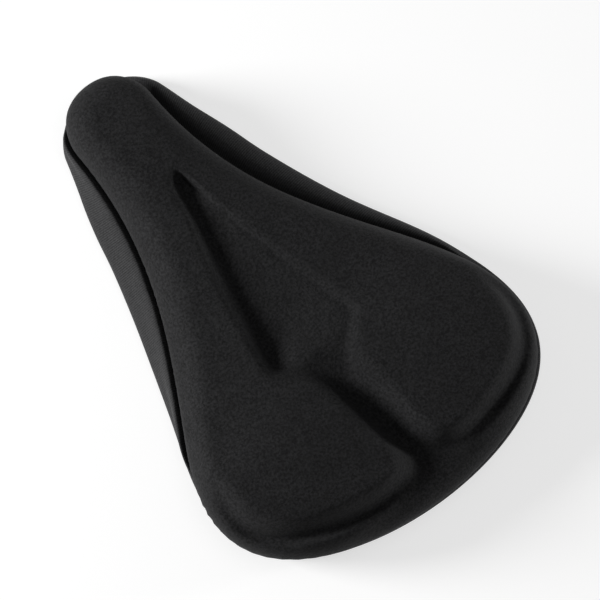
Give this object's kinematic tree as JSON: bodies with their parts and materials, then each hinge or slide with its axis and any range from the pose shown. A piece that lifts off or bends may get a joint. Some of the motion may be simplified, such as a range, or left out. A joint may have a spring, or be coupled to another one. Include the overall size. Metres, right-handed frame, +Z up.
{
  "type": "bicycle saddle cover",
  "caption": "Padded pull-on cover for a bicycle saddle: moulded foam pad with raised rear lobes and a central recess, stretch side skirt and elasticated hem.",
  "frame": {"origin": "on the table, under the middle of the cover's bounding box", "axes": "+Y toward the nose, +X to the rider's right, +Z up out of the padded side"},
  "size_m": [0.1866, 0.274, 0.0422],
  "materials": {
    "face_fabric": "brushed knit, matt, moulded in relief",
    "foam_pad": "soft open-cell polyurethane foam",
    "base_lining": "thin plain lining cloth with small anti-slip dots",
    "side_skirt": "fine-ribbed stretch knit, matt",
    "hem_elastic": "braided flat elastic"
  },
  "bodies": {
    "root": {"face_fabric": "face_fabric", "foam_pad": "foam_pad", "base_lining": "base_lining", "side_skirt": "side_skirt", "hem_elastic": "hem_elastic"}
  },
  "joints": []
}
